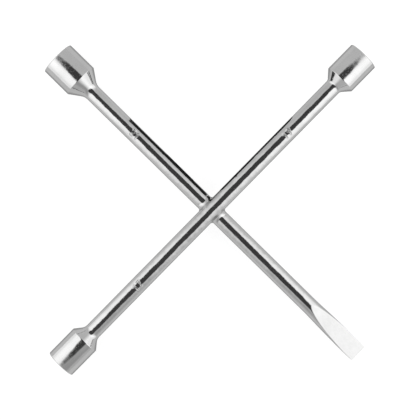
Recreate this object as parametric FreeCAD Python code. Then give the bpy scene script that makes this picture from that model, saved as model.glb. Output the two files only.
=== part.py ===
"""Four-way lug wrench: two round bars crossed at right angles, three hex sockets and a pry blade.

Millimetres. The origin is the centre of the crossing, on the plane where the two bars meet.
+X points along the upper bar to the 19 mm socket, and -X to the 17 mm socket.
+Y points along the lower bar to the 21 mm socket, and -Y to the pry blade. +Z is up.
"""

import FreeCAD, Part
import math
import os

V = FreeCAD.Vector
ORIGIN = V(0, 0, 0)
UP = V(0, 0, 1)

# Bars
BAR_DIA = 14.0
BAR_RADIUS = BAR_DIA / 2
AXIS_OFFSET = 7.0          # height between the two bar axes where they cross
WELD_RADIUS = 4.0          # fillet of weld metal round the crossing

# Arm lengths, from the centre of the crossing to the end
ARM_17 = 178.0
ARM_19 = 178.0
ARM_21 = 179.5
ARM_BLADE = 169.8

# Where each arm points about +Z
TURN_19 = 0
TURN_21 = 90
TURN_17 = 180
TURN_BLADE = -90

# Sockets
SHOULDER_BLEND = 1.2       # where the barrel turns into the cone
HEX_CLEARANCE = 0.2        # across flats, over the nut's size
HEX_DEPTH = 22.0
FLOOR_ANGLE = 59.0         # half angle of the conical floor
LEAD_IN = 0.4              # how far the mouth chamfer opens beyond the hex corners
MOUTH_ROUND = 0.8
SEAM_MARGIN = 1.5          # straight neck between the blend and the butt weld

# Pry blade, distances measured back from the square tip
BLADE_START = 57.0         # where the round bar ends and the forged shape begins
BLADE_APEX = 55.5          # where the two faces leave the bar
BLADE_TIP_THICKNESS = 2.4
BLADE_TIP_DROP = 1.8       # how far the middle of the tip lies below the bar's axis
BLADE_ROLL = 8.5           # how far the flats lean about the bar's axis, upper face toward +X
BLADE_WIDEST = 15.8
BLADE_TIP_WIDTH = 15.3

# Size marks stamped in the top of the bars
MARK_HEIGHT = 6.2
MARK_WIDTH = 3.4
MARK_GAP = 1.1
MARK_STROKE = 0.9
MARK_DEPTH = 0.3
MARK_AT_17 = 87.0
MARK_AT_19 = 88.0
MARK_AT_21 = 89.0


def on_arm(shape, turn):
    """Carry a shape made along +X to its arm, at the height of that arm's bar."""
    upper = turn in (TURN_19, TURN_17)
    shape.rotate(ORIGIN, UP, turn)
    shape.translate(V(0, 0, AXIS_OFFSET / 2 if upper else -AXIS_OFFSET / 2))
    return shape


def rod(start, end, radius=BAR_RADIUS):
    """Round bar along X from start to end."""
    return Part.makeCylinder(radius, end - start, V(start, 0, 0), V(1, 0, 0))


class Socket:
    """Sizes of one forged socket head. Distances are measured back from its mouth."""

    def __init__(self, nut, barrel_dia, barrel_end, cone_end, neck_blend):
        self.across_flats = nut + HEX_CLEARANCE
        self.radius = barrel_dia / 2
        self.barrel_end = barrel_end
        self.cone_end = cone_end
        self.neck_blend = neck_blend
        slope = math.atan2(self.radius - BAR_RADIUS, cone_end - barrel_end)
        self.seam = cone_end + neck_blend * math.tan(slope / 2) + SEAM_MARGIN


SOCKET_17 = Socket(17, 26.0, 28.2, 35.7, neck_blend=7.0)
SOCKET_19 = Socket(19, 27.0, 27.5, 34.8, neck_blend=4.0)
SOCKET_21 = Socket(21, 30.5, 26.9, 38.5, neck_blend=10.0)


def socket_outside(size, mouth):
    """Turned outside of a socket: mouth, barrel, cone and the neck that meets the bar."""
    outline = Part.makePolygon([
        V(mouth, 0, 0),
        V(mouth, size.radius, 0),
        V(mouth - size.barrel_end, size.radius, 0),
        V(mouth - size.cone_end, BAR_RADIUS, 0),
        V(mouth - size.seam, BAR_RADIUS, 0),
        V(mouth - size.seam, 0, 0),
        V(mouth, 0, 0),
    ])
    solid = Part.Face(outline).revolve(ORIGIN, V(1, 0, 0), 360)
    for x, radius, blend in (
        (mouth, size.radius, MOUTH_ROUND),
        (mouth - size.barrel_end, size.radius, SHOULDER_BLEND),
        (mouth - size.cone_end, BAR_RADIUS, size.neck_blend),
    ):
        solid = solid.makeFillet(blend, rings_at(solid, x, radius))
    return solid


def rings_at(solid, x, radius):
    """Circular edges of a turned solid at one place along X."""
    found = []
    for edge in solid.Edges:
        if not isinstance(edge.Curve, Part.Circle):
            continue
        if abs(edge.Curve.Center.x - x) < 0.01 and abs(edge.Curve.Radius - radius) < 0.01:
            found.append(edge)
    return found


def hex_cavity(size, mouth):
    """Six-sided hole with a lead-in chamfer at the mouth and a conical floor."""
    flat = size.across_flats / 2
    corner = flat / math.cos(math.radians(30))
    points = []
    for side in range(7):
        angle = math.radians(60 * side)
        points.append(V(mouth - HEX_DEPTH, corner * math.cos(angle), corner * math.sin(angle)))
    prism = Part.Face(Part.makePolygon(points)).extrude(V(HEX_DEPTH + 1, 0, 0))
    wide = corner + LEAD_IN
    narrow = flat - 0.2
    lead_in = Part.makeCone(wide, narrow, wide - narrow, V(mouth, 0, 0), V(-1, 0, 0))
    floor_depth = flat / math.tan(math.radians(FLOOR_ANGLE))
    floor = Part.makeCone(flat, 0, floor_depth, V(mouth - HEX_DEPTH, 0, 0), V(-1, 0, 0))
    return prism.fuse([lead_in, floor])


def socket(size, arm, turn):
    """Forged socket head, butt welded to the end of its bar."""
    return on_arm(socket_outside(size, arm).cut(hex_cavity(size, arm)), turn)


def stroke_line(x0, y0, x1, y1):
    """Straight stroke of a stamped figure, with round ends, as a column along Z."""
    length = math.hypot(x1 - x0, y1 - y0)
    half = MARK_STROKE / 2
    column = Part.makeBox(length, MARK_STROKE, 30, V(0, -half, -15))
    ends = [Part.makeCylinder(half, 30, V(x, 0, -15)) for x in (0, length)]
    stroke = column.fuse(ends)
    stroke.rotate(ORIGIN, UP, math.degrees(math.atan2(y1 - y0, x1 - x0)))
    stroke.translate(V(x0, y0, 0))
    return stroke


def stroke_ring(x, y, radius, start=0, sweep=360):
    """Curved stroke of a stamped figure about (x, y), from the start angle, counterclockwise."""
    half = MARK_STROKE / 2
    column = Part.makeCylinder(radius + half, 30, V(0, 0, -15), UP, sweep)
    column = column.cut(Part.makeCylinder(radius - half, 30, V(0, 0, -15)))
    column.rotate(ORIGIN, UP, start)
    column.translate(V(x, y, 0))
    return column


def figure(digit):
    """Strokes of one digit, centred on the origin, reading along +X with its top toward +Y."""
    w = (MARK_WIDTH - MARK_STROKE) / 2
    h = (MARK_HEIGHT - MARK_STROKE) / 2
    if digit == "1":
        return [stroke_line(0, -h, 0, h), stroke_line(0, h, -w, h - w)]
    if digit == "7":
        return [stroke_line(-w, h, w, h), stroke_line(w, h, -w / 3, -h)]
    if digit == "9":
        return [stroke_ring(0, h - w, w), stroke_line(w, h - w, -w / 3, -h)]
    bow = [stroke_ring(0, h - w, w, -30, 210), stroke_line(-w, -h, w, -h)]
    return bow + [stroke_line(w * 0.87, h - 1.5 * w, -w, -h)]


def size_mark(text, at, turn, reading):
    """Figures stamped to an even depth in the top of a bar, along the arm that points to turn."""
    pitch = MARK_WIDTH + MARK_GAP
    columns = []
    for place, digit in enumerate(text):
        for stroke in figure(digit):
            stroke.translate(V((place - (len(text) - 1) / 2) * pitch, 0, 0))
            columns.append(stroke)
    mark = columns[0].fuse(columns[1:])
    mark.rotate(ORIGIN, UP, reading)
    mark.translate(V(at, 0, 0))
    reach = 10
    skin = rod(at - reach, at + reach, BAR_RADIUS + 1)
    skin = skin.cut(rod(at - reach, at + reach, BAR_RADIUS - MARK_DEPTH))
    top = Part.makeBox(2 * reach, 2 * reach, reach, V(at - reach, -reach, 0))
    return on_arm(mark.common(skin.common(top)), turn)


def upper_rod():
    """The upper bar before it is notched."""
    return on_arm(rod(SOCKET_17.seam - ARM_17, ARM_19 - SOCKET_19.seam), TURN_19)


def lower_rod():
    """The lower bar before it is notched, as far as the pry blade."""
    return on_arm(rod(BLADE_START - ARM_BLADE, ARM_21 - SOCKET_21.seam), TURN_21)


def half_space(side):
    """Block that holds the crossing above (+1) or below (-1) the plane where the bars meet."""
    reach = 2 * BAR_DIA
    return Part.makeBox(2 * reach, 2 * reach, reach, V(-reach, -reach, 0 if side > 0 else -reach))


def upper_bar():
    """Bar that passes over the crossing, with a half lap pressed into its underside."""
    lap = lower_rod().common(half_space(-1))
    bar = upper_rod().cut(lap)
    bar = bar.cut(size_mark("19", MARK_AT_19, TURN_19, 0))
    return bar.cut(size_mark("17", MARK_AT_17, TURN_17, 180))


def blade_section(back, half_width, half_height):
    """Oval outline across the blade, at a distance back from the tip."""
    x = ARM_BLADE - back
    if abs(half_height - half_width) < 0.001:
        outline = Part.Circle(V(x, 0, 0), V(1, 0, 0), half_width).toShape()
        outline.rotate(V(x, 0, 0), V(1, 0, 0), 90)
    else:
        major = V(x, 0, half_height)
        outline = Part.Ellipse(major, V(x, half_width, 0), V(x, 0, 0)).toShape()
    return Part.Wire(outline)


def blade_faces():
    """Block between the two faces of the blade, which run straight from the bar to the tip."""
    reach = BLADE_START + 10
    upper_tip = BLADE_TIP_THICKNESS / 2 - BLADE_TIP_DROP
    lower_tip = upper_tip - BLADE_TIP_THICKNESS
    upper_rise = (BAR_RADIUS - upper_tip) / BLADE_APEX
    lower_fall = (BAR_RADIUS + lower_tip) / BLADE_APEX
    outline = Part.makePolygon([
        V(ARM_BLADE, 0, lower_tip),
        V(ARM_BLADE, 0, upper_tip),
        V(ARM_BLADE - reach, 0, upper_tip + upper_rise * reach),
        V(ARM_BLADE - reach, 0, lower_tip - lower_fall * reach),
        V(ARM_BLADE, 0, lower_tip),
    ])
    width = 2 * BLADE_WIDEST
    block = Part.Face(outline).extrude(V(0, width, 0))
    block.translate(V(0, -width / 2, 0))
    return block


def blade():
    """Flat pry blade: the bar spreads to rounded sides between two faces that taper to the tip."""
    radius = BAR_RADIUS
    wide = BLADE_WIDEST / 2
    swelling = Part.makeLoft([
        blade_section(BLADE_START, radius, radius),
        blade_section(BLADE_APEX, radius, radius + 0.01),
        blade_section(44, radius + 0.3, 1.05 * radius),
        blade_section(32, wide - 0.2, 1.12 * radius),
        blade_section(24, wide - 0.05, 1.2 * radius),
        blade_section(12, wide, 1.3 * radius),
        blade_section(0, BLADE_TIP_WIDTH / 2, 1.4 * radius),
    ], True)
    flattened = swelling.common(blade_faces())
    flattened.rotate(ORIGIN, V(1, 0, 0), -BLADE_ROLL)
    return on_arm(flattened, TURN_BLADE)


def lower_bar():
    """Bar that passes under the crossing, half lapped on top, with the pry blade forged at one end."""
    lap = upper_rod().common(half_space(1))
    bar = lower_rod().cut(lap).fuse(blade())
    return bar.cut(size_mark("21", MARK_AT_21, TURN_21, 180)).removeSplitter()


def centre_weld():
    """Weld metal that fills the corners all round the crossing with one smooth fillet."""
    crossed = upper_rod().fuse(lower_rod())
    corners = []
    for edge in crossed.Edges:
        if isinstance(edge.Curve, Part.BSplineCurve):
            corners.append(edge)
    return crossed.makeFillet(WELD_RADIUS, corners).cut(crossed)


NODES = {
    "upper_bar": upper_bar(),
    "lower_bar": lower_bar(),
    "centre_weld": centre_weld(),
    "socket_17mm": socket(SOCKET_17, ARM_17, TURN_17),
    "socket_19mm": socket(SOCKET_19, ARM_19, TURN_19),
    "socket_21mm": socket(SOCKET_21, ARM_21, TURN_21),
}

os.makedirs("parts", exist_ok=True)
for name, shape in NODES.items():
    shape.exportStep("parts/" + name + ".step")
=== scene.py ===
"""Four-way lug wrench in bright chrome, seen from above on a plain pale floor in a light tent.

The frame is the CAD model's: +X to the 19 mm socket, +Y to the 21 mm socket, -X to the 17 mm
socket, -Y to the pry blade, +Z up. Meshes are built in millimetres and scaled once to metres.
"""
import bmesh
import bpy
import math
import numpy as np
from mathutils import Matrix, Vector


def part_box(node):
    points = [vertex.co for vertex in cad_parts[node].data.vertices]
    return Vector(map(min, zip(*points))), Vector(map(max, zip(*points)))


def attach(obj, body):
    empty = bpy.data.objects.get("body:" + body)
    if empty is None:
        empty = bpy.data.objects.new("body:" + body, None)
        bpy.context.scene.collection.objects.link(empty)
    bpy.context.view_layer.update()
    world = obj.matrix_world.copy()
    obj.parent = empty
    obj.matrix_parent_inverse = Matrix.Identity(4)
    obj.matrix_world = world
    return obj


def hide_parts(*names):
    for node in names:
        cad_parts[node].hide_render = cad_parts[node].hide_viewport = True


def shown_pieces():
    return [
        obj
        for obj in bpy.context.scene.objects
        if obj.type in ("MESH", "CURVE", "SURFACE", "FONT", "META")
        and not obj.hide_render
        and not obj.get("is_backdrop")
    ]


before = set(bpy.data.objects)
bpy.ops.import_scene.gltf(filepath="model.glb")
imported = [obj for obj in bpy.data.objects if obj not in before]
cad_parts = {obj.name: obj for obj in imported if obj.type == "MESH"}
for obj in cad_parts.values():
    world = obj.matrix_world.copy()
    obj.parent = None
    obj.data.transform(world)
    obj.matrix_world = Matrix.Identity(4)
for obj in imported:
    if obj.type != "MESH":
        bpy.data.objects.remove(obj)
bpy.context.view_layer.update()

MM = 0.001

# Bars, in millimetres: points round them, and the spacing of their rings along them
AROUND_BAR = 256
BAR_STEP = 2.0
MARK_STEP = 0.15
BLADE_STEP = 0.6
TIP_STEP = 0.1
TIP_REACH = 1.2
LAP_REACH = 20

# Weld at the crossing
WELD_RADIUS = 4.0
AROUND_WELD = 288
ACROSS_WELD = 28
INSIDE_WELD = 6

# Size marks
MARK_HEIGHT = 6.2
MARK_WIDTH = 3.4
MARK_PITCH = 4.5
MARK_STROKE = 0.9
MARK_DEPTH = 0.4
MARK_WALL = 0.50
MARK_BURR = 0.06
MARK_BURR_AT = 0.35
MARK_BURR_WIDTH = 0.25
MARK_REACH = 5.4
MARK_AT = {"17": 87.0, "19": 88.0, "21": 89.0}

# Pry blade, distances measured back from the tip
BLADE_START = 57.0
BLADE_APEX = 55.5
BLADE_WIDEST_AT = 12.0
BLADE_WIDEST = 15.8
BLADE_TIP_WIDTH = 15.3
BLADE_TIP_THICKNESS = 2.4
BLADE_TIP_DROP = 1.8
BLADE_ROLL = 8.5
BLADE_CORNER = 0.5
BLADE_EDGE = 0.25
BLADE_CREASE = 0.10
BLADE_WORN_CREASE = 0.32
BLADE_WORN_FROM = 34.0
BLADE_WORN_OVER = 12.0
BLADE_SPREAD = 0.68
BLADE_DEEPER = 0.4
BLADE_ROLL_OVER = 7.0
BLADE_SAMPLES = 3000

# Sockets
AROUND_SOCKET = 240
HEX_CLEARANCE = 0.2
HEX_DEPTH = 22.0
HEX_CORNER = 0.7
FLOOR_ANGLE = 59.0
LEAD_IN = 0.4
LEAD_IN_BREAK = 0.12
LEAD_IN_BELOW = 0.05
LEAD_IN_STEPS = 8
MOUTH_ROUND = 0.8
SHOULDER_BLEND = 1.2
BLEND_STEPS = 16
FLOOR_LEDGE = 0.3
SOCKETS = {
    "socket_17mm": dict(nut=17, turn=180, barrel_end=28.2, cone_end=35.7, neck=7.0),
    "socket_19mm": dict(nut=19, turn=0, barrel_end=27.5, cone_end=34.8, neck=4.0),
    "socket_21mm": dict(nut=21, turn=90, barrel_end=26.9, cone_end=38.5, neck=10.0),
}


def box_mm(node):
    """Lowest and highest corner of a CAD node, in millimetres."""
    low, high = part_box(node)
    return np.array(low) / MM, np.array(high) / MM


UPPER_LOW, UPPER_HIGH = box_mm("upper_bar")
LOWER_LOW, LOWER_HIGH = box_mm("lower_bar")
BAR_RADIUS = (UPPER_HIGH[1] - UPPER_LOW[1]) / 2
UPPER_Z = UPPER_HIGH[2] - BAR_RADIUS
LOWER_Z = LOWER_LOW[2] + BAR_RADIUS
AXIS_GAP = UPPER_Z - LOWER_Z


# ---------------------------------------------------------------- mesh helpers

def smoothstep(x):
    x = np.clip(x, 0, 1)
    return x * x * (3 - 2 * x)


def turned(points, degrees):
    """Points turned about +Z."""
    a = math.radians(degrees)
    out = points.copy()
    out[..., 0] = points[..., 0] * math.cos(a) - points[..., 1] * math.sin(a)
    out[..., 1] = points[..., 0] * math.sin(a) + points[..., 1] * math.cos(a)
    return out


def tube_faces(rings, around):
    """Quads between neighbouring rings of a tube."""
    i, j = np.meshgrid(np.arange(rings - 1), np.arange(around), indexing="ij")
    k = (j + 1) % around
    corners = [i * around + j, i * around + k, (i + 1) * around + k, (i + 1) * around + j]
    return np.stack(corners, -1).reshape(-1, 4).tolist()


def fan_faces(ring_start, around, centre):
    """Triangles from a ring to one middle point."""
    return [[ring_start + j, ring_start + (j + 1) % around, centre] for j in range(around)]


def make_piece(name, points, faces, materials, face_material=None, sharp=32):
    """Mesh object from millimetre points, with outward normals and smooth shading."""
    mesh = bpy.data.meshes.new(name)
    mesh.from_pydata((np.asarray(points).reshape(-1, 3) * MM).tolist(), [], faces)
    for material in materials:
        mesh.materials.append(material)
    if face_material is not None:
        mesh.polygons.foreach_set("material_index", face_material)
    shape = bmesh.new()
    shape.from_mesh(mesh)
    bmesh.ops.recalc_face_normals(shape, faces=shape.faces)
    shape.to_mesh(mesh)
    shape.free()
    mesh.shade_smooth()
    mesh.set_sharp_from_angle(angle=math.radians(sharp))
    piece = bpy.data.objects.new(name, mesh)
    bpy.context.scene.collection.objects.link(piece)
    return piece


# ---------------------------------------------------------------- size marks

def line_distance(u, v, u0, v0, u1, v1):
    """Distance from points to a straight stroke."""
    du, dv = u1 - u0, v1 - v0
    t = np.clip(((u - u0) * du + (v - v0) * dv) / (du * du + dv * dv), 0, 1)
    return np.hypot(u - u0 - t * du, v - v0 - t * dv)


def ring_distance(u, v, u0, v0, radius, start=0, sweep=360):
    """Distance from points to a curved stroke that starts at an angle and runs counterclockwise."""
    angle = (np.degrees(np.arctan2(v - v0, u - u0)) - start) % 360
    on_arc = np.abs(np.hypot(u - u0, v - v0) - radius)
    ends = []
    for a in (math.radians(start), math.radians(start + sweep)):
        ends.append(np.hypot(u - u0 - radius * math.cos(a), v - v0 - radius * math.sin(a)))
    return np.where(angle <= sweep, on_arc, np.minimum(*ends))


def figure_distance(digit, u, v):
    """Distance from points to the nearest stroke of a digit that is centred on the origin."""
    w = (MARK_WIDTH - MARK_STROKE) / 2
    h = (MARK_HEIGHT - MARK_STROKE) / 2
    if digit == "1":
        strokes = [line_distance(u, v, 0, -h, 0, h), line_distance(u, v, 0, h, -w, h - w)]
    elif digit == "7":
        strokes = [line_distance(u, v, -w, h, w, h), line_distance(u, v, w, h, -w / 3, -h)]
    elif digit == "9":
        strokes = [ring_distance(u, v, 0, h - w, w), line_distance(u, v, w, h - w, -w / 3, -h)]
    else:
        strokes = [
            ring_distance(u, v, 0, h - w, w, -30, 210),
            line_distance(u, v, w * 0.87, h - 1.5 * w, -w, -h),
            line_distance(u, v, -w, -h, w, -h),
        ]
    return np.minimum.reduce(strokes)


def stamped(text, u, v):
    """Height of a stamped mark: a groove with sloping walls and a low burr beside it."""
    near = np.full(np.shape(u), 99.0)
    for place, digit in enumerate(text):
        shift = (place - (len(text) - 1) / 2) * MARK_PITCH
        near = np.minimum(near, figure_distance(digit, u - shift, v))
    groove = MARK_DEPTH * (1 - smoothstep((near - MARK_STROKE / 2 + MARK_WALL / 2) / MARK_WALL))
    burr = MARK_BURR * np.exp(-(((near - MARK_STROKE / 2 - MARK_BURR_AT) / MARK_BURR_WIDTH) ** 2))
    return burr - groove


# ---------------------------------------------------------------- bars

def stations(start, end, fine):
    """Places of the rings along a bar: close together in the fine stretches."""
    places = [start]
    while places[-1] < end:
        at = places[-1]
        step = BAR_STEP
        for low, high, small in fine:
            if low <= at < high:
                step = small
            elif at < low:
                step = min(step, low - at)
        places.append(at + step)
    places[-1] = end
    return np.array(places)


def bar_angles():
    """Angles round a bar, from the top toward +Y."""
    return np.arange(AROUND_BAR) * 2 * math.pi / AROUND_BAR


def round_bar(places, marks):
    """Rings of a round bar along X with its size marks. A mark is its text, place and direction."""
    x, angle = np.meshgrid(places, bar_angles(), indexing="ij")
    across = (angle + math.pi) % (2 * math.pi) - math.pi
    height = np.zeros_like(x)
    for text, at, reading in marks:
        near = (np.abs(x - at) < MARK_PITCH + MARK_WIDTH) & (np.abs(across) < 1)
        u = (x - at) * reading
        v = across * BAR_RADIUS * reading
        height = np.where(near, stamped(text, u, v), height)
    radius = BAR_RADIUS + height
    return np.stack([x, radius * np.sin(angle), radius * np.cos(angle)], -1)


def blade_oval(back):
    """Half width and half height of the forged oval at a distance back from the tip."""
    spread = np.clip((BLADE_APEX - back) / (BLADE_APEX - BLADE_WIDEST_AT), 0, 1)
    narrow = np.clip(1 - back / BLADE_WIDEST_AT, 0, 1) ** 2
    wide = BLADE_WIDEST / 2 - BAR_RADIUS
    half_width = BAR_RADIUS + wide * smoothstep(spread ** BLADE_SPREAD)
    half_width -= (BLADE_WIDEST - BLADE_TIP_WIDTH) / 2 * narrow
    flatter = np.clip(1 - back / BLADE_START, 0, 1) ** 1.5
    return half_width, BAR_RADIUS * (1 + BLADE_DEEPER * flatter)


def face_height(back, tip):
    """Distance of a blade face from the axis: from its value at the tip to the bar's surface."""
    return tip + (BAR_RADIUS - tip) / BLADE_APEX * back


def rounded_off(back, radius):
    """How much a round of this radius takes away at a distance back from the tip."""
    return radius - math.sqrt(radius ** 2 - max(radius - back, 0) ** 2)


def soft_limit(value, limit, crease):
    """Values held below a limit, with a small round where they reach it."""
    return value - crease * np.log1p(np.exp((value - limit) / crease))


def blade_side(back, crease):
    """Half of the outline across the blade, evenly spaced from the top to the bottom."""
    half_width, half_height = blade_oval(back)
    thin = rounded_off(back, BLADE_EDGE)
    upper = face_height(back, BLADE_TIP_THICKNESS / 2 - BLADE_TIP_DROP)
    lower = face_height(back, BLADE_TIP_THICKNESS / 2 + BLADE_TIP_DROP)
    turn = np.linspace(0, math.pi, BLADE_SAMPLES)
    y = (half_width - rounded_off(back, BLADE_CORNER)) * np.sin(turn)
    z = soft_limit(half_height * np.cos(turn), upper - thin, crease)
    z = -soft_limit(-z, lower - thin, BLADE_CREASE)
    length = np.concatenate([[0], np.cumsum(np.hypot(np.diff(y), np.diff(z)))])
    even = np.linspace(0, length[-1], AROUND_BAR // 2 + 1)
    return np.interp(even, length, y), np.interp(even, length, z)


def blade_ring(back):
    """One outline across the blade, from the top round through +Y, with the worn edge at +Y."""
    wear = smoothstep((BLADE_WORN_FROM - back) / BLADE_WORN_OVER)
    worn = BLADE_CREASE + (BLADE_WORN_CREASE - BLADE_CREASE) * wear
    y, z = blade_side(back, worn)
    y_sharp, z_sharp = blade_side(back, BLADE_CREASE)
    y, z = np.concatenate([y, -y_sharp[-2:0:-1]]), np.concatenate([z, z_sharp[-2:0:-1]])
    roll_end = BLADE_START + BLADE_ROLL_OVER
    roll = math.radians(BLADE_ROLL) * smoothstep((roll_end - back) / BLADE_ROLL_OVER)
    across = y * math.cos(roll) - z * math.sin(roll)
    height = y * math.sin(roll) + z * math.cos(roll)
    return np.stack([across, height], -1)


def capped(rings):
    """Points and faces of a tube closed by a fan at each end."""
    count, around = rings.shape[:2]
    points = np.concatenate([rings.reshape(-1, 3), [rings[0].mean(0)], [rings[-1].mean(0)]])
    faces = tube_faces(count, around)
    faces += fan_faces(0, around, count * around)
    faces += fan_faces((count - 1) * around, around, count * around + 1)
    return points, faces


def upper_rod():
    """Points and faces of the upper bar, before its half lap."""
    marks = [("17", -MARK_AT["17"], 1), ("19", MARK_AT["19"], 1)]
    fine = [(at - MARK_REACH, at + MARK_REACH, MARK_STEP) for _, at, _ in marks]
    rings = round_bar(stations(UPPER_LOW[0], UPPER_HIGH[0], fine), marks)
    rings[..., 2] += UPPER_Z
    return capped(rings)


def lower_rod():
    """Points and faces of the lower bar with its pry blade, before its half lap."""
    tip, end = LOWER_LOW[1], LOWER_HIGH[1]
    at = MARK_AT["21"]
    blade_end = tip + BLADE_START + BLADE_ROLL_OVER
    fine = [
        (tip, tip + TIP_REACH, TIP_STEP),
        (tip + TIP_REACH, blade_end, BLADE_STEP),
        (at - MARK_REACH, at + MARK_REACH, MARK_STEP),
    ]
    places = stations(tip, end, fine)
    rings = round_bar(places, [("21", at, -1)])
    for i, x in enumerate(places):
        if x < blade_end:
            rings[i, :, 1:] = blade_ring(x - tip)
    rings = turned(rings, 90)
    rings[..., 2] += LOWER_Z
    return capped(rings)


def half_lap(piece, other, keep_above):
    """Cut away the half of a bar that the other bar fills, on its side of the meeting plane."""
    reach = LAP_REACH * MM
    bpy.ops.mesh.primitive_cube_add(size=2 * reach)
    block = bpy.context.object
    block.location.z = -reach if keep_above else reach
    lap = other.copy()
    lap.data = other.data.copy()
    bpy.context.scene.collection.objects.link(lap)
    apply_boolean(lap, block, "INTERSECT")
    apply_boolean(piece, lap, "DIFFERENCE")
    for cutter in (lap, block):
        bpy.data.objects.remove(cutter)


def apply_boolean(piece, cutter, operation):
    """Replace a piece's mesh with the result of a boolean."""
    cut = piece.modifiers.new("cut", "BOOLEAN")
    cut.operation = operation
    cut.solver = "EXACT"
    cut.object = cutter
    bpy.context.view_layer.update()
    depsgraph = bpy.context.evaluated_depsgraph_get()
    result = bpy.data.meshes.new_from_object(piece.evaluated_get(depsgraph))
    piece.modifiers.clear()
    piece.data = result


# ---------------------------------------------------------------- weld at the crossing

def weld_ring():
    """Closed ring of weld metal: a rolled fillet outside, the two bar surfaces inside."""
    reach = BAR_RADIUS + WELD_RADIUS
    plan = np.arange(AROUND_WELD) * 2 * math.pi / AROUND_WELD
    centre = corner_curve(plan, reach)
    to_upper = -(centre - [0, 0, UPPER_Z]) * [0, 1, 1] / reach
    to_lower = -(centre - [0, 0, LOWER_Z]) * [1, 0, 1] / reach
    opening = np.arccos(np.clip((to_upper * to_lower).sum(-1), -1, 1))
    rings = []
    for t in np.linspace(0, 1, ACROSS_WELD + 1):
        a = np.sin((1 - t) * opening) / np.sin(opening)
        b = np.sin(t * opening) / np.sin(opening)
        direction = a[:, None] * to_upper + b[:, None] * to_lower
        rings.append(centre + WELD_RADIUS * direction)
    meet = corner_curve(plan, BAR_RADIUS)
    for t in np.linspace(0, 1, INSIDE_WELD + 1)[1:]:
        rings.append(on_cylinder(rings[ACROSS_WELD] * (1 - t) + meet * t, 1, LOWER_Z))
    for t in np.linspace(0, 1, INSIDE_WELD + 1)[1:-1]:
        rings.append(on_cylinder(meet * (1 - t) + rings[0] * t, 0, UPPER_Z))
    rings.append(rings[0])
    points = np.stack(rings[:-1]).reshape(-1, 3)
    faces = np.array(tube_faces(len(rings), AROUND_WELD)) % len(points)
    return points, faces.tolist()


def corner_curve(plan, radius):
    """The curve where two round bars of this radius would meet, by direction in plan."""
    k = np.maximum(2 * np.cos(2 * plan) ** 2 / (2 * AXIS_GAP) ** 2, 1e-9)
    total = 2 * radius ** 2 - AXIS_GAP ** 2 / 2
    r = np.sqrt((-1 + np.sqrt(1 + 4 * k * total)) / (2 * k))
    x, y = r * np.cos(plan), r * np.sin(plan)
    return np.stack([x, y, (y ** 2 - x ** 2) / (2 * AXIS_GAP)], -1)


def on_cylinder(points, axis, height):
    """Points pushed onto a bar whose axis is X (0) or Y (1)."""
    side = 1 - axis
    out = points.copy()
    size = np.hypot(points[:, side], points[:, 2] - height)
    out[:, side] = points[:, side] / size * BAR_RADIUS
    out[:, 2] = height + (points[:, 2] - height) / size * BAR_RADIUS
    return out


# ---------------------------------------------------------------- sockets

def filleted(corners):
    """Profile through corner points (x, r, blend), with each corner rounded to its blend."""
    line = [np.array(corners[0][:2], float)]
    for before, here, after in zip(corners, corners[1:], corners[2:]):
        p = np.array(here[:2], float)
        a = np.array(before[:2], float) - p
        b = np.array(after[:2], float) - p
        a, b = a / np.hypot(*a), b / np.hypot(*b)
        half = math.acos(float(np.clip(a @ b, -1, 1))) / 2
        centre = p + (a + b) / np.hypot(*(a + b)) * here[2] / math.sin(half)
        start = p + a * here[2] / math.tan(half) - centre
        end = p + b * here[2] / math.tan(half) - centre
        first = math.atan2(start[1], start[0])
        sweep = (math.atan2(end[1], end[0]) - first + math.pi) % (2 * math.pi) - math.pi
        for t in np.linspace(0, 1, BLEND_STEPS + 1):
            angle = first + sweep * t
            line.append(centre + here[2] * np.array([math.cos(angle), math.sin(angle)]))
    line.append(np.array(corners[-1][:2], float))
    return np.array(line)


def hexagon_radius(angles, flat):
    """Distance from the middle to the wall of a hexagon with rounded corners, corner at angle 0."""
    off = (angles + math.pi / 6) % (math.pi / 3) - math.pi / 6
    wall = flat / np.cos(math.pi / 6 - np.abs(off))
    middle = (flat - HEX_CORNER) / math.cos(math.pi / 6)
    inside = np.maximum(HEX_CORNER ** 2 - (middle * np.sin(off)) ** 2, 0)
    rounded = middle * np.cos(off) + np.sqrt(inside)
    return np.minimum(wall, rounded)


def socket_outside(size, mouth, seam, radius):
    """Turned profile of a socket from its seam to the edge of its mouth."""
    return filleted([
        (mouth, radius - 2 * MOUTH_ROUND, 0),
        (mouth, radius, MOUTH_ROUND),
        (mouth - size["barrel_end"], radius, SHOULDER_BLEND),
        (mouth - size["cone_end"], BAR_RADIUS, size["neck"]),
        (seam, BAR_RADIUS, 0),
    ])[1:][::-1]


def socket_rim(mouth, rim, wide):
    """Loops across the square mouth, from its outer round to the lead-in chamfer."""
    return [(mouth, rim + (wide + LEAD_IN_BREAK - rim) * t) for t in (0.5, 0.97, 1.0)]


def socket_cavity(mouth, flat, wall, wide):
    """Loops of the lead-in chamfer, the six walls and the conical floor, and the floor's depth."""
    loops = []
    for t in np.linspace(0, 1, LEAD_IN_STEPS + 1):
        r = wide + (wall - wide) * t
        loops.append((mouth - (wide - r) - LEAD_IN_BELOW * (1 - t), r))
    deep = mouth - HEX_DEPTH
    start = loops[-1][0]
    for t in (0.05, 0.2, 0.4, 0.6, 0.8, 0.95, 0.99, 1.0):
        loops.append((start + (deep - start) * t, wall))
    ledge = flat - FLOOR_LEDGE
    cone = ledge / math.tan(math.radians(FLOOR_ANGLE))
    for t in (0.5, 0.97, 1.0):
        loops.append((deep, wall + (ledge - wall) * t))
    for t in (0.03, 0.3, 0.6, 0.85, 0.96):
        loops.append((deep - cone * t, ledge * (1 - t)))
    return loops, deep - cone * 0.985


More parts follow.
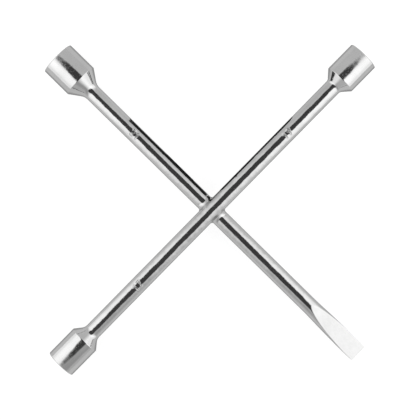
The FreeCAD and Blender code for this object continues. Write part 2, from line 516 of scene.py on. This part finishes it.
def socket_mesh(node, size):
    """Socket head: turned outside, square rim, lead-in, hexagonal walls and conical floor."""
    low, high = box_mm(node)
    along = 1 if size["turn"] == 90 else 0
    radius = (high[2] - low[2]) / 2
    mouth = max(abs(low[along]), abs(high[along]))
    seam = min(abs(low[along]), abs(high[along]))
    angles = np.arange(AROUND_SOCKET) * 2 * math.pi / AROUND_SOCKET
    flat = (size["nut"] + HEX_CLEARANCE) / 2
    wide = flat / math.cos(math.pi / 6) + LEAD_IN
    skin = [tuple(place) for place in socket_outside(size, mouth, seam, radius)]
    skin += socket_rim(mouth, radius - MOUTH_ROUND, wide)
    cavity, bottom = socket_cavity(mouth, flat, hexagon_radius(angles, flat), wide)
    rings = []
    for x, r in skin + cavity:
        x, r = np.broadcast_to(x, angles.shape), np.broadcast_to(r, angles.shape)
        rings.append(np.stack([x, r * np.cos(angles), r * np.sin(angles)], -1))
    count = len(rings)
    points = np.concatenate([np.concatenate(rings), [[bottom, 0, 0]], [[seam, 0, 0]]])
    faces = tube_faces(count, AROUND_SOCKET)
    faces += fan_faces((count - 1) * AROUND_SOCKET, AROUND_SOCKET, count * AROUND_SOCKET)
    faces += fan_faces(0, AROUND_SOCKET, count * AROUND_SOCKET + 1)
    points = turned(points, size["turn"])
    points[:, 2] += LOWER_Z if along else UPPER_Z
    material = np.zeros(len(faces), int)
    plated = len(skin) + LEAD_IN_STEPS
    material[plated * AROUND_SOCKET:count * AROUND_SOCKET] = 1
    return points, faces, material


# ---------------------------------------------------------------- materials

# Chrome plate: tint, noise scales, and depths of the relief in metres
PLATE_TINT = [0.518, 0.518, 0.517, 1]
PLATE_WORN = 0.9
PLATE_ROUGHNESS = (0.08, 0.22)
NOISE_MIDDLE = (0.3, 0.7)
HAZE_SCALE = 55
PIT_SCALE = 800
PIT_RANGE = (0.50, 0.72)
SWELL_SCALE = 100
RIPPLE_SCALE = 450
DRAWN_ALONG = 40
DRAWN_ACROSS = 2600
SWELL_DEPTH = 3.5e-4
RIPPLE_DEPTH = 5.0e-5
DRAWN_DEPTH = 1.5e-6
BAR_WAVES = 1.0
WELD_WAVES = 2.0
SOCKET_WAVES = 0.35
BLADE_CALM = (-0.105, -0.125)

# Inside of the sockets
CAVITY_SCALE = 260
CAVITY_DARK = [0.17, 0.165, 0.16, 1]
CAVITY_PALE = [0.34, 0.34, 0.345, 1]
CAVITY_DEPTH = 6e-5
CAVITY_ROUGHNESS = (0.3, 0.5)


class Nodes:
    """Short way to add and join the nodes of one material."""

    def __init__(self, name):
        self.material = bpy.data.materials.new(name)
        self.material.use_nodes = True
        self.tree = self.material.node_tree
        self.shader = self.tree.nodes["Principled BSDF"]

    def add(self, kind, **sockets):
        node = self.tree.nodes.new(kind)
        for name, value in sockets.items():
            self.put(node.inputs[name.replace("_", " ")], value)
        return node

    def put(self, socket, value):
        if isinstance(value, bpy.types.NodeSocket):
            self.tree.links.new(value, socket)
        else:
            socket.default_value = value

    def noise(self, vector, scale, detail=2.0, roughness=0.5):
        settings = dict(Vector=vector, Scale=scale, Detail=detail, Roughness=roughness)
        return self.add("ShaderNodeTexNoise", **settings).outputs["Fac"]

    def stretched(self, vector, scale):
        node = self.add("ShaderNodeMapping", Vector=vector)
        node.inputs["Scale"].default_value = scale
        return node.outputs["Vector"]

    def ranged(self, value, low, high, to_low, to_high):
        node = self.add("ShaderNodeMapRange", Value=value)
        names = ("From Min", "From Max", "To Min", "To Max")
        for name, number in zip(names, (low, high, to_low, to_high)):
            node.inputs[name].default_value = number
        return node.outputs["Result"]

    def mixed(self, factor, first, second):
        node = self.tree.nodes.new("ShaderNodeMix")
        node.data_type = "RGBA"
        self.put(node.inputs["Factor"], factor)
        self.put(node.inputs["A"], first)
        self.put(node.inputs["B"], second)
        return next(o for o in node.outputs if o.type == "RGBA")

    def faded(self, value, place, start, end):
        """The value, faded to a tenth along Y from the start to the end."""
        along = self.add("ShaderNodeSeparateXYZ", Vector=place).outputs["Y"]
        node = self.tree.nodes.new("ShaderNodeMath")
        node.operation = "MULTIPLY"
        self.put(node.inputs[0], value)
        self.put(node.inputs[1], self.ranged(along, end, start, 0.1, 1.0))
        return node.outputs["Value"]

    def bumped(self, height, distance, below=None):
        node = self.add("ShaderNodeBump", Height=height, Strength=1.0, Distance=distance)
        if below is not None:
            self.put(node.inputs["Normal"], below)
        return node.outputs["Normal"]


def chrome(name, along, waves, calm=None):
    """Bright chrome plate: polishing waves, drawn lines along one axis, small pits and haze.

    Where calm gives two places along Y, the waves and pits fade out from the first to the second.
    """
    n = Nodes(name)
    place = n.add("ShaderNodeTexCoord").outputs["Object"]
    scale = [DRAWN_ALONG if axis == along else DRAWN_ACROSS for axis in range(3)]
    drawn = n.noise(n.stretched(place, scale), 1.0, 3.0)
    haze = n.noise(place, HAZE_SCALE, 4.0, 0.6)
    tone = n.ranged(haze, *NOISE_MIDDLE, 0.0, 1.0)
    worn = [c * PLATE_WORN for c in PLATE_TINT[:3]] + [1]
    n.put(n.shader.inputs["Base Color"], n.mixed(tone, worn, PLATE_TINT))
    n.shader.inputs["Metallic"].default_value = 1.0
    pits = n.noise(place, PIT_SCALE, 2.0)
    swell = n.noise(place, SWELL_SCALE, 1.0)
    if calm is not None:
        pits = n.faded(pits, place, *calm)
        swell = n.faded(swell, place, *calm)
    n.put(n.shader.inputs["Roughness"], n.ranged(pits, *PIT_RANGE, *PLATE_ROUGHNESS))
    normal = n.bumped(swell, SWELL_DEPTH * waves)
    normal = n.bumped(n.noise(place, RIPPLE_SCALE, 2.0), RIPPLE_DEPTH * waves, normal)
    normal = n.bumped(drawn, DRAWN_DEPTH, normal)
    n.put(n.shader.inputs["Normal"], normal)
    return n.material


def bare_cavity(name):
    """Inside of a socket, where the plate is thin and dull over broached steel."""
    n = Nodes(name)
    place = n.add("ShaderNodeTexCoord").outputs["Object"]
    cloud = n.noise(place, CAVITY_SCALE, 5.0, 0.65)
    tone = n.ranged(cloud, *NOISE_MIDDLE, 0.0, 1.0)
    n.put(n.shader.inputs["Base Color"], n.mixed(tone, CAVITY_DARK, CAVITY_PALE))
    n.shader.inputs["Metallic"].default_value = 1.0
    n.put(n.shader.inputs["Roughness"], n.ranged(cloud, *NOISE_MIDDLE, *CAVITY_ROUGHNESS))
    n.put(n.shader.inputs["Normal"], n.bumped(cloud, CAVITY_DEPTH))
    return n.material


def floor_paint():
    """Plain pale floor that glows a little, so that it stays white round the wrench."""
    n = Nodes("pale_floor")
    n.shader.inputs["Base Color"].default_value = [FLOOR_GREY] * 3 + [1]
    n.shader.inputs["Roughness"].default_value = 0.9
    n.shader.inputs["Specular IOR Level"].default_value = 0.1
    n.shader.inputs["Emission Color"].default_value = [1, 1, 1, 1]
    n.shader.inputs["Emission Strength"].default_value = FLOOR_GLOW
    return n.material


# ---------------------------------------------------------------- pieces

def seated(piece, node):
    """Let a piece stand for its CAD node and ride with the one rigid body."""
    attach(piece, "root")
    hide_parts(node)


def build_wrench():
    """All six pieces. The bars are half lapped into each other."""
    bar_x = chrome("bar_chrome_x", 0, BAR_WAVES)
    bar_y = chrome("bar_chrome_y", 1, BAR_WAVES, BLADE_CALM)
    weld = chrome("weld_chrome", 2, WELD_WAVES)
    socket_x = chrome("socket_chrome_x", 0, SOCKET_WAVES)
    socket_y = chrome("socket_chrome_y", 1, SOCKET_WAVES)
    cavity = bare_cavity("socket_cavity")
    upper = make_piece("upper_bar_plated", *upper_rod(), [bar_x])
    lower = make_piece("lower_bar_plated", *lower_rod(), [bar_y])
    whole_upper = upper.copy()
    whole_upper.data = upper.data.copy()
    bpy.context.scene.collection.objects.link(whole_upper)
    half_lap(upper, lower, True)
    half_lap(lower, whole_upper, False)
    bpy.data.objects.remove(whole_upper)
    seated(upper, "upper_bar")
    seated(lower, "lower_bar")
    seated(make_piece("centre_weld_plated", *weld_ring(), [weld]), "centre_weld")
    for node, size in SOCKETS.items():
        skin = socket_y if size["turn"] == 90 else socket_x
        points, faces, inside = socket_mesh(node, size)
        piece = make_piece(node + "_plated", points, faces, [skin, cavity], inside)
        seated(piece, node)


# ---------------------------------------------------------------- stage, light and camera

# Floor
FLOOR_REACH = 6.0
FLOOR_GREY = 0.2
FLOOR_GLOW = 0.88

# Light tent, in metres. Its brightness is the strength of the light.
TENT = 1.5
TENT_HEIGHT = 0.40
TENT_BOTTOM = 0.0

# White sides of the tent, by distance from the middle of the crossing
PANEL_NEAR = 1.935
PANEL_FAR = 1.51
PANEL_REACH = (0.5, 1.6)
PANEL_RIGHT = 1.05
PANEL_RIGHT_REACH = 0.3

# Grey parts of the tent, above and below the middle of the picture and low on the walls
GREY_TOP = 0.853
GREY_BOTTOM = 0.525
GREY_REACH = 0.35
WALL_BOTTOM = 0.762
WALL_REACH = (0.8, 1.6)

# Border between the white sides and the grey parts
BORDER_CENTRE = (-0.006, -0.031)
BORDER_SLOPE = 0.884
BORDER_INSET = -0.014
BORDER_BLUR = 0.372

# Dark opening in the ceiling, round the camera
CORE_CENTRE = (-0.026, 0.083)
CORE_LEFT = 0.252
CORE_RIGHT = 0.303
CORE_UP = 0.243
CORE_DOWN = 0.421
CORE_TAPER = 0.76
CORE_POWER = 1.5
CORE_INNER = 0.80
CORE_OUTER = 0.98
CORE_LEVEL = 0.075

# Light from outside the tent, which gets darker between two steepnesses straight below
BELOW = 0.92
STRAIGHT_BELOW = 0.42
BELOW_REACH = (0.5, 0.9)

# Black card on the floor, seen only in reflections, where it paints the reflection of a shadow as a
# dark line on the chrome: how far it reaches along the bars, how near it comes to them, and its
# fold
SHADE_CARD_START = 0.007
SHADE_CARD_NEAR = 0.016
SHADE_CARD_EDGE = 0.0125
SHADE_CARD_FAR = 0.103
SHADE_CARD_FOLD = 0.035
SHADE_CARD_TOP = 0.0085
SHADE_CARD_STRIP = (0.028, 0.060)

# Camera, straight above the crossing
ROLL = -45.5
CAMERA_HEIGHT = 1.264
CAMERA_LENS = 131.0
CAMERA_SENSOR = 36
CAMERA_LEFT = 0.0017


def resting_plane():
    """Point and normal of the plane that the wrench rests on: the hull face under its middle."""
    hull = bmesh.new()
    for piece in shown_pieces():
        for vertex in piece.data.vertices:
            if vertex.co.z < 0:
                hull.verts.new(vertex.co)
    bmesh.ops.convex_hull(hull, input=hull.verts)
    best = None
    for face in hull.faces:
        if face.normal.z < -0.9 and bmesh.geometry.intersect_face_point(face, flat_hit(face)):
            best = (face.calc_center_median(), -face.normal)
    hull.free()
    return best


def flat_hit(face):
    """Where the vertical line through the origin meets the face's plane."""
    height = face.normal.dot(face.calc_center_median()) / face.normal.z
    return Vector((0, 0, height))


def add_floor():
    """Floor that touches the wrench where it would rest, and stays out of its reflections."""
    point, normal = resting_plane()
    mesh = bpy.data.meshes.new("floor")
    square = ((-1, -1), (1, -1), (1, 1), (-1, 1))
    corners = [(x * FLOOR_REACH, y * FLOOR_REACH, 0) for x, y in square]
    mesh.from_pydata(corners, [], [(0, 1, 2, 3)])
    mesh.materials.append(floor_paint())
    floor = bpy.data.objects.new("floor", mesh)
    floor.rotation_mode = "QUATERNION"
    floor.rotation_quaternion = normal.to_track_quat("Z", "Y")
    floor.location = point
    bpy.context.scene.collection.objects.link(floor)
    floor.visible_glossy = False
    floor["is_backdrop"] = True


class Pattern:
    """Short way to write a brightness pattern in the nodes of a ceiling or a sky."""

    def __init__(self, tree):
        self.tree = tree

    def node(self, kind, inputs, **settings):
        node = self.tree.nodes.new(kind)
        for name, value in settings.items():
            setattr(node, name, value)
        for socket, value in inputs.items():
            if isinstance(value, bpy.types.NodeSocket):
                self.tree.links.new(value, node.inputs[socket])
            else:
                node.inputs[socket].default_value = value
        return node

    def dot(self, vector, axis):
        inputs = {0: vector, 1: axis}
        return self.node("ShaderNodeVectorMath", inputs, operation="DOT_PRODUCT").outputs["Value"]

    def math(self, operation, first, second=0.0):
        inputs = {0: first, 1: second}
        return self.node("ShaderNodeMath", inputs, operation=operation).outputs["Value"]

    def ramp(self, value, low, high, to_low=0.0, to_high=1.0):
        names = ("From Min", "From Max", "To Min", "To Max")
        inputs = dict(zip(names, (low, high, to_low, to_high)))
        inputs["Value"] = value
        node = self.node("ShaderNodeMapRange", inputs, interpolation_type="SMOOTHSTEP")
        return node.outputs["Result"]

    def blend(self, factor, first, second):
        """First where the factor is 0, second where it is 1."""
        rest = self.math("SUBTRACT", 1.0, factor)
        first = self.math("MULTIPLY", rest, first)
        second = self.math("MULTIPLY", factor, second)
        return self.math("ADD", first, second)


def beside(p, x, y):
    """How far a place lies inside the left or right quarter of the ceiling."""
    across = p.math("ABSOLUTE", p.math("SUBTRACT", x, BORDER_CENTRE[0]))
    along = p.math("ABSOLUTE", p.math("SUBTRACT", y, BORDER_CENTRE[1]))
    inside = p.math("SUBTRACT", p.math("MULTIPLY", across, BORDER_SLOPE), along)
    return p.math("SUBTRACT", inside, BORDER_INSET)


def outside_core(p, x, y):
    """0 in the dark opening round the camera and 1 away from it."""
    narrowing = p.math("SUBTRACT", 1.0, p.math("MULTIPLY", y, CORE_TAPER))
    u = p.math("DIVIDE", p.math("SUBTRACT", x, CORE_CENTRE[0]), narrowing)
    u = p.math("MAXIMUM", p.math("DIVIDE", u, -CORE_LEFT), p.math("DIVIDE", u, CORE_RIGHT))
    v = p.math("SUBTRACT", y, CORE_CENTRE[1])
    v = p.math("MAXIMUM", p.math("DIVIDE", v, -CORE_DOWN), p.math("DIVIDE", v, CORE_UP))
    outward = p.math("ADD", p.math("POWER", u, CORE_POWER), p.math("POWER", v, CORE_POWER))
    return p.ramp(p.math("POWER", outward, 1 / CORE_POWER), CORE_INNER, CORE_OUTER)


def tent_light():
    """Two white sides left and right, grey between them, and a dark opening for the camera."""
    material = bpy.data.materials.new("tent_light")
    material.use_nodes = True
    tree = material.node_tree
    tree.nodes.clear()
    p = Pattern(tree)
    place = p.node("ShaderNodeTexCoord", {}).outputs["Object"]
    x, y = p.dot(place, (1, 0, 0)), p.dot(place, (0, 1, 0))
    reach = p.node("ShaderNodeVectorMath", {0: place}, operation="LENGTH").outputs["Value"]
    white = p.ramp(reach, *PANEL_REACH, PANEL_NEAR, PANEL_FAR)
    white = p.math("MULTIPLY", white, p.ramp(x, 0.0, PANEL_RIGHT_REACH, 1.0, PANEL_RIGHT))
    bottom = p.ramp(reach, *WALL_REACH, GREY_BOTTOM, WALL_BOTTOM)
    grey = p.ramp(y, -GREY_REACH, GREY_REACH, bottom, GREY_TOP)
    lit = p.blend(p.ramp(beside(p, x, y), -BORDER_BLUR, BORDER_BLUR), grey, white)
    strength = p.blend(outside_core(p, x, y), CORE_LEVEL, lit)
    glow = p.node("ShaderNodeEmission", {"Color": (1, 1, 1, 1), "Strength": strength})
    out = p.node("ShaderNodeOutputMaterial", {})
    tree.links.new(glow.outputs["Emission"], out.inputs["Surface"])
    return material


def add_tent():
    """Light tent: a glowing ceiling and four walls that stop just short of the floor."""
    mesh = bpy.data.meshes.new("light_tent")
    corners = [(-TENT, -TENT), (TENT, -TENT), (TENT, TENT), (-TENT, TENT)]
    points = [(x, y, z) for z in (TENT_BOTTOM, TENT_HEIGHT) for x, y in corners]
    walls = [(i, (i + 1) % 4, (i + 1) % 4 + 4, i + 4) for i in range(4)]
    mesh.from_pydata(points, [], [(7, 6, 5, 4)] + walls)
    mesh.materials.append(tent_light())
    tent = bpy.data.objects.new("light_tent", mesh)
    tent.rotation_euler = (0, 0, math.radians(ROLL))
    tent.visible_camera = False
    bpy.context.scene.collection.objects.link(tent)
    tent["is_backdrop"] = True


def add_surroundings():
    """Pale light outside the tent, darker straight below."""
    world = bpy.data.worlds.new("studio")
    world.use_nodes = True
    bpy.context.scene.world = world
    p = Pattern(world.node_tree)
    direction = p.node("ShaderNodeTexCoord", {}).outputs["Generated"]
    down = p.dot(direction, (0, 0, -1))
    sky = world.node_tree.nodes["Background"]
    sky.inputs["Color"].default_value = (1, 1, 1, 1)
    strength = p.ramp(down, *BELOW_REACH, BELOW, STRAIGHT_BELOW)
    world.node_tree.links.new(strength, sky.inputs["Strength"])


def add_painted_shadow_card():
    """Folded black card on the floor in place of a shadow there, seen only in reflections as a
    painted dark line along two of the bars.
    """
    base = resting_plane()[0].z + MM
    strip_start, strip_end = SHADE_CARD_STRIP
    points = [
        (SHADE_CARD_NEAR, SHADE_CARD_EDGE, base), (SHADE_CARD_FAR, SHADE_CARD_EDGE, base),
        (SHADE_CARD_FAR, SHADE_CARD_FAR, base), (SHADE_CARD_NEAR, SHADE_CARD_FAR, base),
        (SHADE_CARD_FOLD, SHADE_CARD_EDGE, base), (SHADE_CARD_FOLD, SHADE_CARD_FAR, base),
        (SHADE_CARD_FOLD, SHADE_CARD_FAR, SHADE_CARD_TOP), (SHADE_CARD_FOLD, SHADE_CARD_EDGE, SHADE_CARD_TOP),
        (SHADE_CARD_START, strip_start, base), (SHADE_CARD_NEAR, strip_start, base),
        (SHADE_CARD_NEAR, strip_end, base), (SHADE_CARD_START, strip_end, base),
    ]
    mesh = bpy.data.meshes.new("painted_shadow_card")
    mesh.from_pydata(points, [], [(0, 1, 2, 3), (4, 5, 6, 7), (8, 9, 10, 11)])
    material = bpy.data.materials.new("painted_shadow_black")
    material.use_nodes = True
    shader = material.node_tree.nodes["Principled BSDF"]
    # Near-black colour: the painted shadow that the chrome reflects as a dark line
    shader.inputs["Base Color"].default_value = [0.01, 0.01, 0.01, 1]
    shader.inputs["Roughness"].default_value = 0.9
    mesh.materials.append(material)
    shade_card = bpy.data.objects.new("painted_shadow_card", mesh)
    bpy.context.scene.collection.objects.link(shade_card)
    # Hidden from the camera, from diffuse light and from shadows, so the card only paints a dark
    # reflection of shade into the chrome
    shade_card.visible_camera = False
    shade_card.visible_diffuse = False
    shade_card.visible_shadow = False
    shade_card.visible_transmission = False
    shade_card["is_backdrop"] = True


def add_camera():
    """Camera that looks straight down, turned so that the arms run to the picture's corners."""
    data = bpy.data.cameras.new("camera")
    data.lens = CAMERA_LENS
    data.sensor_width = CAMERA_SENSOR
    camera = bpy.data.objects.new("camera", data)
    roll = math.radians(ROLL)
    left = (-CAMERA_LEFT * math.cos(roll), -CAMERA_LEFT * math.sin(roll))
    camera.location = (*left, CAMERA_HEIGHT)
    camera.rotation_euler = (0, 0, roll)
    bpy.context.scene.collection.objects.link(camera)
    bpy.context.scene.camera = camera


build_wrench()
add_floor()
add_tent()
add_painted_shadow_card()
add_surroundings()
add_camera()
bpy.context.scene.view_settings.view_transform = "Standard"
